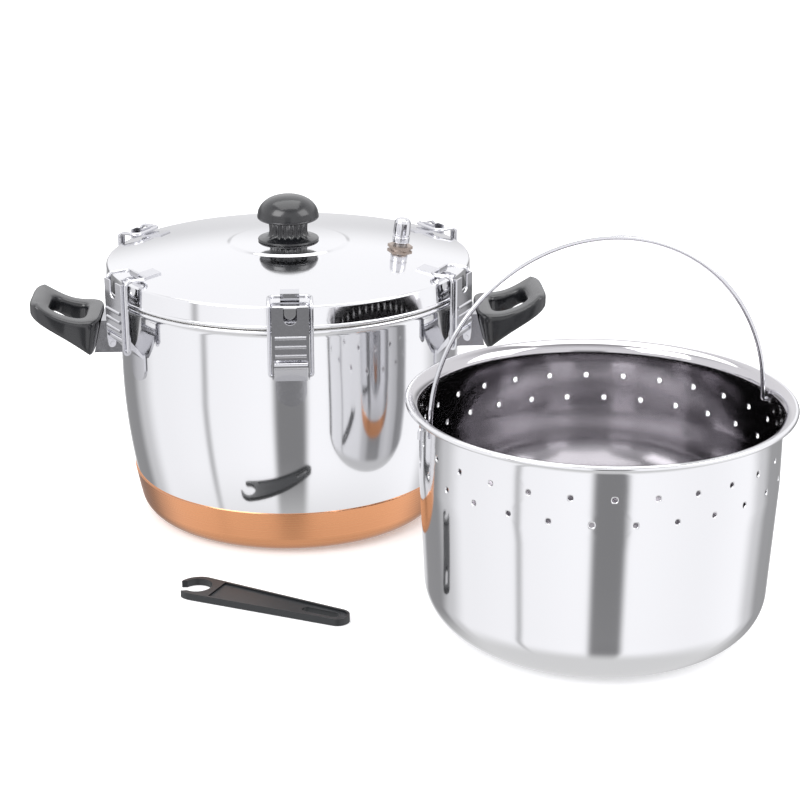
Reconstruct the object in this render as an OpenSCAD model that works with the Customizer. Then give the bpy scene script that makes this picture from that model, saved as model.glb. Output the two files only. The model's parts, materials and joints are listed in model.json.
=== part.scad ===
// Clamp-lid pressure canner: a copper-bottomed pot, a domed lid held by six toggle clamps,
// a perforated lift-out basket with a bail, and the opening key that goes with it.
// Origin: centre of the pot's base on the table. +X runs along the right handle, +Z is up.

/* [Pot] */
// Outer radius of the straight part of the pot's wall
pot_rad = 115; // [100:1:138]
// Height of the top of the pot's rim above the table
rim_z = 159.4; // [132:0.1:192]
// Thickness of the pot's steel sheet
pot_t = 1.1; // [0.9:0.1:1.4]
// How far the wall draws in from the belly to the heel
belly_drop = 10.5; // [6:0.5:13]
// Height at which the wall becomes straight
belly_top = 105; // [88:1:106]
// Outer radius of the bend between base and wall
heel_r = 14; // [10:1:17]
// Thickness of the copper cup on the base
copper_t = 0.9; // [0.6:0.1:1.2]
// Height of the copper cup's edge
copper_top = 30.5; // [24:0.5:38]
// Radius of the flare below the rim
flare_r = 7; // [6:0.5:8]

/* [Lid] */
// Height of the lid's flat crown above the pot's rim
crown_rise = 26.6; // [22:0.1:32]
// Thickness of the lid's steel sheet
lid_t = 0.9; // [0.8:0.1:1.2]
// Radius of the flat crown under the knob
crown_r = 39; // [34:1:46]
// How far the dome falls from the crown to the edge
dome_drop = 9.6; // [8:0.1:11.5]
// Height of the lid's skirt
skirt_h = 13.4; // [12:0.1:15]
// Free height between the seal and the pot's rim
seal_gap = 0.3; // [0.3:0.1:0.5]

/* [Clamps] */
// Number of clamps round the lid
clamp_n = 6; // [6:1:6]
// Distance of a lever's pivot from the pot's wall
pivot_out = 13; // [12.5:0.1:14]
// Distance of a lever's pivot below the rim
pivot_drop = 20.9; // [19:0.1:23]
// Distance between a lever's two pivots
throw = 6.3; // [5.8:0.1:6.8]
// Diameter of a bail's wire
bail_d = 2.5; // [2.2:0.1:2.7]
// Distance between the middles of a bail's two legs
bail_w = 26.4; // [25.8:0.2:30]
// Distance of a bail's top bar in from the lid's edge
bar_in = 9.5; // [8.5:0.1:10.5]
// Diameter of a clamp's hinge pin
pin_d = 2.4; // [2:0.1:2.6]
// Thickness of a clamp's sheet parts
clamp_t = 1; // [0.8:0.1:1.1]
// Width of a strap's welded tab
strap_w = 19.6; // [17:0.2:20]
// Width of a lid keeper
keeper_w = 12; // [10:0.5:14]

/* [Handles] */
// How far a handle's tip stands out from the pot's wall
grip_out = 59; // [56:1:70]
// Width of a handle where it meets the bracket
grip_w = 64; // [58:1:72]
// Width of a handle's finger hole
hole_w = 32; // [26:1:36]
// Width of a handle's bracket
bracket_w = 38; // [32:1:44]

/* [Basket] */
// Outer radius of the basket's wall near its top
basket_rad = 106.5; // [90:0.5:109]
// Height of the basket
basket_h = 141.6; // [118:0.1:150]
// Outer radius of the basket's rim
basket_rim_r = 115; // [110:0.5:118]
// Thickness of the basket's steel sheet
basket_t = 0.9; // [0.7:0.1:1.2]
// Number of holes in each of the two rows
hole_n = 28; // [20:1:32]
// Diameter of each hole
hole_d = 3.2; // [2.6:0.2:4]
// Diameter of the basket bail's wire
handle_d = 2.8; // [2.4:0.1:3.2]
// Turn of the basket's bail about the vertical, in degrees
bail_turn = 11; // [0:1:11]

/* [Knob and vent] */
// Diameter of the knob's cap
knob_d = 41.6; // [36:0.5:46]
// Height of the knob
knob_h = 31; // [27:0.5:36]
// Diameter of the vent's weight
weight_d = 11.6; // [10:0.2:13]
// Height of the vent's weight
weight_h = 17; // [14:0.5:20]

/* [Key] */
// Length of the opening key
key_l = 118; // [100:1:135]
// Thickness of the opening key
key_t = 4.5; // [4:0.5:8]
// Width of the gap in the key's jaw
jaw_gap = 14; // [7:0.5:16]
// Turn of the jaw's mouth from the key's length, in degrees
jaw_turn = 30; // [0:5:40]

/* [Hidden] */
$fn = 96;
CLAMPS = [for (i = [1:clamp_n]) i];

// clearances
running = 0.05;      // a hinge pin or wire in its hole, on the radius
free_play = 0.3;     // parts that pass each other without touching
weld_bite = 0.05;    // a welded tab's bite into the sheet it is welded to
end_past = 0.2;      // how far a bail's end reaches past the lever's ear

// pot, derived
heel_lean = 13;
heel_top = copper_t + heel_r * (1 - sin(heel_lean));
flare_z = rim_z - pot_t - flare_r;
flange_r = pot_rad + flare_r;
roll_r = 1.5;

// lid, derived
lid_r = flange_r + 0.5;
crown_z = rim_z + crown_rise;
step_h = 1.4;
dome_r0 = crown_r + 3;
edge_r = 1.6;
dome_z0 = crown_z - step_h;
skirt_top = dome_z0 - dome_drop - edge_r;
skirt_low = skirt_top - skirt_h + edge_r;
bead_r = 1.3;
seal_foot = 4;
seal_leg = 2;

// clamp, derived: x is outwards, z is up, y is along the rim
leg_r = pot_rad + pivot_out;
pivot_z = rim_z - pivot_drop;
wire_z = pivot_z - throw;
bar_r = lid_r - bar_in;
wire_r = bail_d / 2;
keeper_t = 1.1;
keeper_l = 14;
keeper_step = 7;
keeper_in = wire_r + free_play;
bend_r = 4;
foot_bend = wire_r + free_play;
arm_l = leg_r - bend_r - bar_r;
bar_z = hundredth(lid_z(bar_r) + keeper_t + keeper_in);
leg_top = bar_z - bend_r;
lever_w = bail_w - bail_d - 2 * free_play;
lever_front = leg_r + wire_r + 1.9;
lever_low = pivot_z + 4.7;
lever_top = leg_top + 2;
ear_r = 2.7;
notch_w = 8.4;
notch_h = 11.4;
rib_r = 1.3;
rib_gap = 5.8;
rib_l = lever_w - 4;
barrel_r = pin_d / 2 + 1.1;
tab_top = pivot_z - 13;
tab_h = 18;
tab_t = 1.2;
arm_w = lever_w - 2 * clamp_t - 2 * free_play;

// handle, derived
grip_r0 = pot_rad + 11;
grip_slant = 6;
grip_z = rim_z - 20.6;
grip_deep = 24.3;
grip_r1 = pot_rad + grip_out;
grip_rise = 12;
grip_corner = 15;
hole_r0 = grip_r0 + 12.5;
hole_r1 = grip_r1 - 12.5;
hole_corner = 5;
grip_waist = 29;
grip_shoulder = 20;
screw_r = 2.2;
screw_head = 4.2;
screw_head_h = 1.8;
bracket_t = 1.2;
screw_z = grip_z - 11.5;
screw_in = 9;

// basket, derived: it stands on the table, in front of the right handle, where the levers swing clear of it
basket_x = pot_rad + 66;
basket_y = -(pot_rad + 90);
basket_heel = 28;
basket_lean = 3.5;
top_band = 46.6;      // the straight part below the basket's top
basket_straight = basket_h - top_band;
basket_flare = 7;
row_z = [basket_h - 22, basket_h - 37];
row_phase = 0.65;    // where the upper row starts, as a share of the holes' spacing
lug_z = basket_h - 10.6;
lug_drop = 6;
handle_in = basket_rad - basket_t - handle_d / 2 - 0.7;
handle_leg = 3;
handle_bend = handle_d / 2 + 0.4;
hook_r = basket_rad + 3.2;

// knob and vent, derived
neck_d = 27;
flange_t = 2.4;
knob_cap_h = 16.5;
knob_hole = 14;
washer_r = 9;
washer_t = 1.2;
knob_head_r = 5.2;
knob_head_h = 2.2;
knob_screw_r = 3;
vent_r = 75.5;
vent_a = -9;
vent_tilt = atan(2 * dome_drop * vent_r / (dome_r1() ^ 2 - dome_r0 ^ 2));
vent_bore = 1.6;
pipe_r = 3.2;
seat_h = 2.6;
seat_w = 17;
collar_r = pipe_r + 1.4;
collar_t = 1.2;
pipe_up = 7;
pipe_down = 7;
nut_r = 6.5;
nut_h = 3.2;
nut_gap = 0.5;
socket_h = 7;
cross_hole_r = 1;

// key, derived
key_x = -72;
key_y = -151;
key_turn = -28.4;
jaw_r = 13;
jaw_hole = 9.4;
jaw_shift = 1;
tail_r = 7.5;
key_rim = 1.6;
key_pan = 1;
pan_in = 3.6;
slot_l = 24;
slot_w = 6;

// ---- shared curves ----

// points on an arc, from angle a0 to a1 in n steps
function arc_pts(cx, cz, r, a0, a1, n) =
    [for (i = [0:n]) let (a = a0 + (a1 - a0) * i / n) [cx + r * cos(a), cz + r * sin(a)]];

// a length rounded to a hundredth, so that the pieces of a wire meet exactly
function hundredth(v) = round(100 * v) / 100;

function reversed(list) = [for (i = [len(list) - 1:-1:0]) list[i]];

// the pot's outer radius at height z
function pot_r(z) = z >= belly_top ? pot_rad
    : pot_rad - belly_drop * ((belly_top - z) / (belly_top - heel_top)) ^ 2;

// the pot's outside from the middle of the base up to height top, moved outwards by off
function pot_side(off, top, steps) = concat(
    [[0, copper_t - off]],
    arc_pts(pot_r(heel_top) - heel_r * cos(heel_lean), copper_t + heel_r,
            heel_r + off, -90, -heel_lean, 8),
    [for (k = [1:steps]) let (z = heel_top + (top - heel_top) * k / steps) [pot_r(z) + off, z]]);

function dome_r1() = lid_r - edge_r;

// height of the lid's outer surface at radius r, outside the crown
function lid_z(r) = dome_z0 - dome_drop * (r ^ 2 - dome_r0 ^ 2) / (dome_r1() ^ 2 - dome_r0 ^ 2);

// the lid's surface from the crown to the skirt's foot, moved inwards by off
function lid_side(off) = concat(
    [[0, crown_z - off], [crown_r, crown_z - off], [crown_r + 1.5, crown_z - step_h * 0.35 - off]],
    [for (k = [0:10]) let (r = dome_r0 + (dome_r1() - dome_r0) * k / 10) [r, lid_z(r) - off]],
    arc_pts(dome_r1(), skirt_top, edge_r - off, 70, 0, 4),
    [[lid_r - off, skirt_low]]);

// the basket's outside, moved outwards by off
function basket_side(off) = concat(
    [[0, -off]],
    arc_pts(basket_rad - basket_lean - basket_heel, basket_heel, basket_heel + off, -90, 0, 10),
    [[basket_rad + off, basket_straight], [basket_rad + off, basket_flare_z()]],
    arc_pts(basket_rad + basket_flare, basket_flare_z(), basket_flare - off, 180, 100, 6));

function basket_flare_z() = basket_h - basket_t - basket_flare;

// ---- shared shapes ----

// a shell of revolution between two side curves that run the same way
module turned(outer, inner) {
    rotate_extrude() polygon(concat(outer, reversed(inner)));
}

// a solid ring of round wire or a rolled edge
module ring(r, z, wire) {
    rotate_extrude() translate([r, z]) circle(wire, $fn = 24);
}

// a bend in round wire, in the XY plane about the origin
module bend(r, wire, angle) {
    rotate_extrude(angle = angle) translate([r, 0]) circle(wire, $fn = 24);
}

// a bar of round wire along Y, centred
module bar_y(wire, length) {
    rotate([90, 0, 0]) cylinder(r = wire, h = length, center = true, $fn = 24);
}

// a flat outline in the (x, z) plane, thickened along Y about y = 0
module side_plate(width) {
    rotate([90, 0, 0]) linear_extrude(width, center = true) children();
}

module at_clamp(i) {
    rotate([0, 0, -90 + (i - 1) * 360 / clamp_n]) children();
}

module at_basket() {
    translate([basket_x, basket_y, 0]) children();
}

module at_vent() {
    rotate([0, 0, vent_a]) translate([vent_r, 0, lid_z(vent_r)]) rotate([0, vent_tilt, 0]) children();
}

// ---- pot ----

module pot_body() {
    color("silver") union() {
        turned(
            concat(pot_side(0, belly_top, 12),
                   arc_pts(flange_r, flare_z, flare_r, 180, 90, 6)),
            concat(pot_side(-pot_t, belly_top, 12),
                   arc_pts(flange_r, flare_z, flare_r + pot_t, 180, 90, 6)));
        ring(flange_r - 0.4, rim_z - roll_r, roll_r);
    }
}

module copper_base() {
    color("peru") turned(pot_side(copper_t, copper_top, 6), pot_side(0, copper_top, 6));
}

// ---- handles ----

// plan outline of a grip, x outwards
module grip_plan() {
    corner_r = grip_r1 - grip_corner;
    corner_y = grip_waist - grip_corner;
    shoulder_r = grip_r0 + grip_shoulder;
    difference() {
        polygon(concat(
            [[grip_r0 - 1, -grip_w / 2], [shoulder_r, -grip_waist]],
            arc_pts(corner_r, -corner_y, grip_corner, -90, 0, 10),
            arc_pts(corner_r, corner_y, grip_corner, 0, 90, 10),
            [[shoulder_r, grip_waist], [grip_r0 - 1, grip_w / 2]]));
        rounded_slot(hole_r0, hole_r1, hole_w, hole_corner);
    }
}

// a slot from x0 to x1 with round ends
module slot(x0, x1, w) {
    translate([x0 + w / 2, -w / 2]) square([x1 - x0 - w, w]);
    for (x = [x0 + w / 2, x1 - w / 2]) translate([x, 0]) circle(w / 2);
}

// a rectangle from x0 to x1 with round corners
module rounded_slot(x0, x1, w, r) {
    translate([x0 + r, -w / 2]) square([x1 - x0 - 2 * r, w]);
    translate([x0, -w / 2 + r]) square([x1 - x0, w - 2 * r]);
    for (x = [x0 + r, x1 - r], s = [-1, 1]) translate([x, s * (w / 2 - r)]) circle(r);
}

// side outline of a grip: deep at the root, sweeping up to a thin rounded tip
module grip_side() {
    run = grip_r1 - 6 - hole_r0;
    top = [for (k = [0:8]) [hole_r0 + run * k / 8, grip_z + grip_rise * (k / 8) ^ 2]];
    tip = arc_pts(grip_r1 - 6, grip_z + grip_rise - 6, 6, 90, -45, 6);
    polygon(concat(
        [[grip_r0, grip_z]], top, tip,
        [[grip_r0 + grip_slant, grip_z - grip_deep]]));
}

module grip() {
    color("dimgray") difference() {
        intersection() {
            translate([0, 0, grip_z - grip_deep - 1])
                linear_extrude(grip_deep + grip_rise + 2) grip_plan();
            side_plate(grip_w + 2) grip_side();
        }
        translate([grip_r0, 0, screw_z]) rotate([0, 90, 0])
            cylinder(r = screw_r, h = screw_in, $fn = 32);
    }
}

// outline of the bracket's side cheek
module bracket_side(inset) {
    polygon([[pot_rad - 4, grip_z - 2 - inset],
             [grip_r0 + grip_slant * 2 / grip_deep - inset, grip_z - 2 - inset],
             [grip_r0 + grip_slant - inset, grip_z - grip_deep + inset],
             [pot_rad - 4, grip_z - grip_deep + inset]]);
}

module handle_bracket() {
    color("gainsboro") difference() {
        side_plate(bracket_w) bracket_side(0);
        side_plate(bracket_w - 2 * bracket_t) bracket_side(bracket_t);
        cylinder(r = pot_rad - weld_bite, h = rim_z, $fn = 180);
        translate([pot_rad, 0, screw_z]) rotate([0, 90, 0])
            cylinder(r = screw_r, h = grip_out, $fn = 32);
    }
}

module handle_screw() {
    // the head's face stays inside the bracket's leaning end plate
    web_r = grip_r0 + grip_slant * (grip_z - screw_z - screw_head) / grip_deep - bracket_t * 1.1;
    head_r = web_r - screw_head_h - running;
    color("gray") translate([0, 0, screw_z]) rotate([0, 90, 0]) {
        translate([0, 0, head_r]) cylinder(r = screw_head, h = screw_head_h, $fn = 32);
        translate([0, 0, head_r]) cylinder(r = screw_r, h = grip_r0 + screw_in - 0.5 - head_r, $fn = 32);
    }
}

// ---- clamps, each drawn with x outwards ----

module clamp_strap() {
    color("silver") difference() {
        union() {
            // welded tab with a round lower end, bent to the pot's wall
            intersection() {
                difference() {
                    cylinder(r = pot_rad + tab_t, h = tab_top + 1.2, $fn = 180);
                    cylinder(r = pot_rad - weld_bite, h = 3 * rim_z, center = true, $fn = 180);
                }
                rotate([90, 0, 90]) linear_extrude(2 * pot_rad) union() {
                    translate([-strap_w / 2, tab_top - tab_h + strap_w / 2])
                        square([strap_w, tab_h - strap_w / 2 + 1]);
                    translate([0, tab_top - tab_h + strap_w / 2]) circle(strap_w / 2);
                }
            }
            // arm that carries the pivot
            side_plate(arm_w) polygon([
                [pot_rad + 0.1, tab_top - 0.6], [pot_rad + 0.1, tab_top + 1],
                [leg_r - barrel_r * 0.7, pivot_z + barrel_r * 0.7],
                [leg_r, pivot_z], [leg_r - 0.2, pivot_z - barrel_r * 0.98],
                [pot_rad + 2, tab_top - 0.6]]);
            translate([leg_r, 0, pivot_z]) bar_y(barrel_r, arm_w);
        }
        translate([leg_r, 0, pivot_z]) bar_y(pin_d / 2, 3 * arm_w);
        // the hollow between the arm and the wall
        side_plate(3 * arm_w) polygon([
            [pot_rad + tab_t, tab_top + 1.2], [leg_r - barrel_r - 0.9, pivot_z - barrel_r * 0.1],
            [leg_r - barrel_r * 0.9, pivot_z + barrel_r], [pot_rad + tab_t, pivot_z + barrel_r]]);
    }
}

module clamp_pin() {
    color("gray") translate([leg_r, 0, pivot_z]) bar_y(pin_d / 2, lever_w);
}

// cheek of a lever, with the ear that holds both pivots
module lever_cheek() {
    back = lever_front - 4.4;
    polygon(concat(
        arc_pts(leg_r, wire_z, ear_r, 180, 360, 10),
        [[lever_front, wire_z + 4], [lever_front, lever_top], [back, lever_top],
         [back, pivot_z + 9], [leg_r - ear_r, pivot_z + 2]]));
}

module clamp_lever() {
    color("silver") difference() {
        union() {
            for (s = [-1, 1])
                translate([0, s * (lever_w - clamp_t) / 2, 0]) side_plate(clamp_t) lever_cheek();
            translate([lever_front - clamp_t, -lever_w / 2, lever_low])
                cube([clamp_t, lever_w, lever_top - lever_low]);
            for (k = [0:2])
                translate([lever_front - 0.4, 0, lever_low + 2.6 + k * rib_gap]) bar_y(rib_r, rib_l);
        }
        translate([leg_r, 0, pivot_z]) bar_y(pin_d / 2 + running, 2 * lever_w);
        translate([leg_r, 0, wire_z]) bar_y(wire_r + running, 2 * lever_w);
        // finger notch
        rotate([90, 0, 90]) linear_extrude(2 * leg_r) union() {
            translate([-notch_w / 2, lever_top - notch_h + notch_w / 2]) square([notch_w, notch_h]);
            translate([0, lever_top - notch_h + notch_w / 2]) circle(notch_w / 2);
        }
        // the ribs stay hollow behind the plate
        translate([lever_front - clamp_t - 10, -lever_w / 2 + clamp_t, lever_low])
            cube([10, lever_w - 2 * clamp_t, lever_top - lever_low]);
    }
}

module clamp_bail() {
    end_l = bail_w / 2 - foot_bend - (lever_w / 2 - clamp_t - end_past);
    color("silver") union() {
        for (s = [-1, 1]) translate([0, s * bail_w / 2, 0]) {
            // turned-in end, in the lever's ear
            translate([leg_r, -s * (foot_bend + end_l / 2), wire_z]) bar_y(wire_r, end_l);
            translate([leg_r, -s * foot_bend, wire_z + foot_bend])
                rotate([90, 0, 90]) rotate([0, 0, s > 0 ? -90 : 180]) bend(foot_bend, wire_r, 90);
            // leg, and the bend in over the lid's edge
            translate([leg_r, 0, wire_z + foot_bend])
                cylinder(r = wire_r, h = leg_top - wire_z - foot_bend, $fn = 24);
            translate([leg_r - bend_r, 0, leg_top]) rotate([90, 0, 0]) bend(bend_r, wire_r, 90);
        }
        // arms and bar
        translate([bar_r, 0, bar_z]) {
            bar_y(wire_r, bail_w - 2 * bend_r);
            for (s = [-1, 1]) {
                translate([bend_r, s * (bail_w / 2 - bend_r), 0])
                    rotate([0, 0, s > 0 ? 90 : 180]) bend(bend_r, wire_r, 90);
                translate([bend_r, s * bail_w / 2, 0]) rotate([0, 90, 0])
                    cylinder(r = wire_r, h = arm_l - bend_r, $fn = 24);
            }
        }
    }
}

module lid_keeper() {
    tab_r = bar_r - keeper_l;
    step_r = bar_r - keeper_step;
    outer = keeper_in + keeper_t;
    lip = wire_r + 0.9;
    color("silver") side_plate(keeper_w) polygon(concat(
        [[tab_r, lid_z(tab_r) - weld_bite], [step_r, lid_z(step_r) - weld_bite]],
        arc_pts(bar_r, bar_z, outer + weld_bite, -94, 0, 8),
        [[bar_r + outer, bar_z + lip], [bar_r + keeper_in, bar_z + lip]],
        arc_pts(bar_r, bar_z, keeper_in, 0, -100, 8),
        [[step_r, lid_z(step_r) + keeper_t], [tab_r, lid_z(tab_r) + keeper_t]]));
}

// ---- lid ----

module lid_shell() {
    color("silver") difference() {
        union() {
            turned(lid_side(0), lid_side(lid_t));
            difference() {
                ring(lid_r - 0.1, skirt_low, bead_r);
                cylinder(r = lid_r - lid_t, h = 3 * rim_z, center = true, $fn = 180);
            }
        }
        translate([0, 0, crown_z - 5]) cylinder(r = knob_screw_r, h = 10, $fn = 32);
        at_vent() cylinder(r = pipe_r, h = 20, center = true, $fn = 32);
    }
}

module lid_seal() {
    seat = rim_z + seal_gap;
    out = lid_r - lid_t;
    color("whitesmoke") rotate_extrude() polygon([
        [pot_rad - 1.5, seat], [out, seat], [out, skirt_top], [out - seal_leg, skirt_top],
        [out - seal_leg, seat + seal_foot], [pot_rad - 1.5, seat + seal_foot * 0.7]]);
}

module knob() {
    cap_z = crown_z + knob_h - knob_cap_h;
    r = knob_d / 2;
    color("dimgray") difference() {
        rotate_extrude() polygon(concat(
            [[0, crown_z], [r * 0.99, crown_z], [r * 0.99, crown_z + flange_t * 0.7],
             [r * 0.9, crown_z + flange_t], [neck_d / 2, crown_z + flange_t + 0.6],
             [neck_d / 2 - 0.8, crown_z + flange_t + 4], [neck_d / 2, crown_z + flange_t + 7],
             [neck_d / 2, cap_z - 1.2], [r * 0.86, cap_z - 0.4]],
            arc_pts(r - 2.2, cap_z + 1.8, 2.2, -60, 40, 6),
            [for (k = [1:10]) let (a = 90 * k / 10)
                [(r - 0.9) * cos(a), cap_z + 3.4 + (knob_h - 3.4 - (cap_z - crown_z)) * sin(a)]]));
        translate([0, 0, crown_z - 1]) cylinder(r = knob_screw_r, h = knob_hole + 1, $fn = 32);
    }
}

module knob_screw() {
    low = crown_z - lid_t - washer_t;
    color("gray") {
        translate([0, 0, low - knob_head_h]) cylinder(r = knob_head_r, h = knob_head_h, $fn = 32);
        translate([0, 0, low - 0.1])
            cylinder(r = knob_screw_r, h = crown_z - low + knob_hole - 2, $fn = 32);
    }
}

module knob_washer() {
    color("gainsboro") translate([0, 0, crown_z - lid_t - washer_t]) difference() {
        cylinder(r = washer_r, h = washer_t);
        translate([0, 0, -1]) cylinder(r = knob_screw_r, h = washer_t + 2, $fn = 32);
    }
}

// ---- vent ----

module vent_pipe() {
    color("gray") at_vent() difference() {
        union() {
            translate([0, 0, -pipe_down])
                cylinder(r = pipe_r, h = pipe_down + seat_h + pipe_up, $fn = 32);
            translate([0, 0, seat_h]) cylinder(r = collar_r, h = collar_t, $fn = 32);
        }
        cylinder(r = vent_bore, h = 4 * (pipe_down + pipe_up), center = true, $fn = 32);
    }
}

module vent_seat() {
    color("rosybrown") at_vent() difference() {
        union() {
            translate([0, 0, 0.7]) cylinder(r = seat_w / 2, h = seat_h - 0.7, $fn = 6);
            cylinder(r = seat_w / 2 - 1.2, h = 1, $fn = 48);
        }
        translate([0, 0, -1]) cylinder(r = pipe_r, h = 6, $fn = 32);
    }
}

module vent_nut() {
    color("gray") at_vent() translate([0, 0, -lid_t - nut_gap - nut_h]) difference() {
        cylinder(r = nut_r, h = nut_h, $fn = 6);
        translate([0, 0, -1]) cylinder(r = pipe_r, h = nut_h + 2, $fn = 32);
    }
}

module vent_weight() {
    r = weight_d / 2;
    color("silver") at_vent() translate([0, 0, seat_h + collar_t + free_play]) difference() {
        rotate_extrude() polygon([
            [0, 0], [r * 0.9, 0], [r, 1], [r, 4.5], [r * 0.92, 5], [r * 0.92, 6], [r, 6.5],
            [r, weight_h - 2.2], [r * 0.82, weight_h - 0.5], [r * 0.6, weight_h], [0, weight_h]]);
        translate([0, 0, -1]) cylinder(r = pipe_r + 0.5, h = socket_h + 1, $fn = 32);
        translate([-3 * r, 0, weight_h - 5]) rotate([0, 90, 0])
            cylinder(r = cross_hole_r, h = 6 * r, $fn = 24);
    }
}

// ---- basket ----

module basket() {
    color("silver") at_basket() difference() {
        union() {
            turned(basket_side(0), basket_side(-basket_t));
            ring(basket_rim_r - roll_r, basket_h - roll_r, roll_r);
            basket_lip();
        }
        for (row = [0, 1], k = [0:hole_n - 1])
            rotate([0, 0, -90 + (k + row_phase + row / 2) * 360 / hole_n])
                translate([basket_rad - 5, 0, row_z[row]]) rotate([0, 90, 0])
                    cylinder(r = hole_d / 2, h = 10, $fn = 16);
        for (a = [0, 180])
            rotate([0, 0, bail_turn + a]) translate([basket_rad - 5, 0, lug_z])
                rotate([0, 90, 0]) cylinder(r = handle_d / 2 + running, h = 10, $fn = 24);
    }
}

// the flat lip from the flare out to the rolled edge
module basket_lip() {
    start = basket_rad + basket_flare - (basket_flare + basket_t) * sin(10);
    z1 = basket_flare_z() + (basket_flare + basket_t) * cos(10);
    difference() {
        translate([0, 0, basket_h - basket_t - 0.2])
            cylinder(r = basket_rim_r - roll_r, h = basket_t + 0.1, $fn = 180);
        cylinder(r = start, h = 3 * basket_h, center = true, $fn = 180);
    }
}

module basket_bail() {
    w = handle_d / 2;
    top = lug_z + handle_leg;
    color("silver") at_basket() rotate([0, 0, bail_turn]) for (a = [0, 180]) rotate([0, 0, a]) {
        // half of the arch, then the leg that reaches down to the lug hole
        translate([0, 0, top]) rotate([90, 0, 0]) bend(handle_in, w, 90);
        translate([handle_in, 0, lug_z + handle_bend])
            cylinder(r = w, h = handle_leg - handle_bend, $fn = 24);
        // out through the wall and down outside it
        translate([handle_in + handle_bend, 0, lug_z + handle_bend]) rotate([90, 0, 180])
            mirror([0, 1, 0]) bend(handle_bend, w, 90);
        translate([handle_in + handle_bend, 0, lug_z]) rotate([0, 90, 0])
            cylinder(r = w, h = hook_r - handle_in - 2 * handle_bend, $fn = 24);
        translate([hook_r - handle_bend, 0, lug_z - handle_bend]) rotate([90, 0, 0])
            bend(handle_bend, w, 90);
        translate([hook_r, 0, lug_z - lug_drop]) cylinder(r = w, h = lug_drop - handle_bend, $fn = 24);
    }
}

// ---- key ----

// outline of the key, jaw at the origin and tail along +x, drawn in by inset
module key_plan(inset) {
    tail_x = key_l - jaw_r - tail_r;
    lean = acos((jaw_r - tail_r) / tail_x);
    polygon(concat(
        arc_pts(0, 0, jaw_r - inset, lean, 360 - lean, 36),
        arc_pts(tail_x, 0, tail_r - inset, -lean, lean, 16)));
}

module opening_key() {
    tail_x = key_l - jaw_r - tail_r;
    color("dimgray") translate([key_x, key_y, 0]) rotate([0, 0, key_turn]) translate([jaw_r, 0, 0])
        difference() {
            linear_extrude(key_t) key_plan(0);
            // shallow pan in the top, inside a raised edge
            translate([0, 0, key_t - key_pan]) linear_extrude(2 * key_pan) intersection() {
                key_plan(key_rim);
                translate([jaw_hole + pan_in, -2 * jaw_r]) square([2 * key_l, 4 * jaw_r]);
            }
            translate([-jaw_shift, 0, -1]) cylinder(r = jaw_hole, h = key_t + 2);
            translate([-jaw_shift, 0, -1]) rotate([0, 0, jaw_turn]) translate([-2 * jaw_r, -jaw_gap / 2, 0])
                cube([2 * jaw_r, jaw_gap, key_t + 2]);
            translate([0, 0, -1]) linear_extrude(key_t + 2) slot(tail_x - slot_l, tail_x + 1, slot_w);
        }
}

// ---- what is drawn ----

pot_body();
copper_base();
handle_bracket();  // handle_bracket_right
rotate([0, 0, 180]) handle_bracket();  // handle_bracket_left
grip();  // handle_grip_right
rotate([0, 0, 180]) grip();  // handle_grip_left
handle_screw();  // handle_screw_right
rotate([0, 0, 180]) handle_screw();  // handle_screw_left
for (i = CLAMPS) {
    at_clamp(i) clamp_strap();
    at_clamp(i) clamp_pin();
    at_clamp(i) clamp_lever();
    at_clamp(i) clamp_bail();
    at_clamp(i) lid_keeper();
}
lid_shell();
lid_seal();
knob();
knob_screw();
knob_washer();
vent_pipe();
vent_seat();
vent_nut();
vent_weight();
basket();
basket_bail();
opening_key();
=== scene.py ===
"""Looks of a clamp-lid pressure canner, its basket and its key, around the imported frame."""

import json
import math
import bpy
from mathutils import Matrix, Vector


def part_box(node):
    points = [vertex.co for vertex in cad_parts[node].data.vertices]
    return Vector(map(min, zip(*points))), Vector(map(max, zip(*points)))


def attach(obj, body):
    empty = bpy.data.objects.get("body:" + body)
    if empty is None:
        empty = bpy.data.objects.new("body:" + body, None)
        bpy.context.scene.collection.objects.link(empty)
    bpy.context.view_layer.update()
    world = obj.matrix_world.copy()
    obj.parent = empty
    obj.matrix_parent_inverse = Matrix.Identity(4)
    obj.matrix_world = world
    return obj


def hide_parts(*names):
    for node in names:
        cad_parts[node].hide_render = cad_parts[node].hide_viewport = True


bl_info = {
    "name": "Clamp-lid canner looks",
    "version": (1, 0, 0),
    "blender": (4, 5, 0),
    "location": "View3D > Sidebar > Canner",
    "description": "Polished steel, copper and phenolic surfaces for a clamp-lid canner with basket and key",
    "category": "Add Mesh",
}

import bmesh
import bpy
import numpy as np
from bpy.props import FloatProperty, IntProperty, PointerProperty, StringProperty
from mathutils import Vector

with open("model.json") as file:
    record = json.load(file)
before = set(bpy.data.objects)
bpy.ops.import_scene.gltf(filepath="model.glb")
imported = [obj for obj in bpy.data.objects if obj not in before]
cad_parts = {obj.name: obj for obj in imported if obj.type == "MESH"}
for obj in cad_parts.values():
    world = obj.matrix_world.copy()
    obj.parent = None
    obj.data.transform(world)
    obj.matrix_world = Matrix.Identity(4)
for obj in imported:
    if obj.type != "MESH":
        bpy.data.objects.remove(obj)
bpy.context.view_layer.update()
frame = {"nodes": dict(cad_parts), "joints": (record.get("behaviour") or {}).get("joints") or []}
MM = 0.001
CLAMPS = range(1, 7)
# Camera: place in metres, tilt below level and turn from the front in degrees, lens in millimetres
EYE, TILT, TURN, LENS = (0, -1.2574, 0.5136), 19.42, -3.43, 86.2
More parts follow.
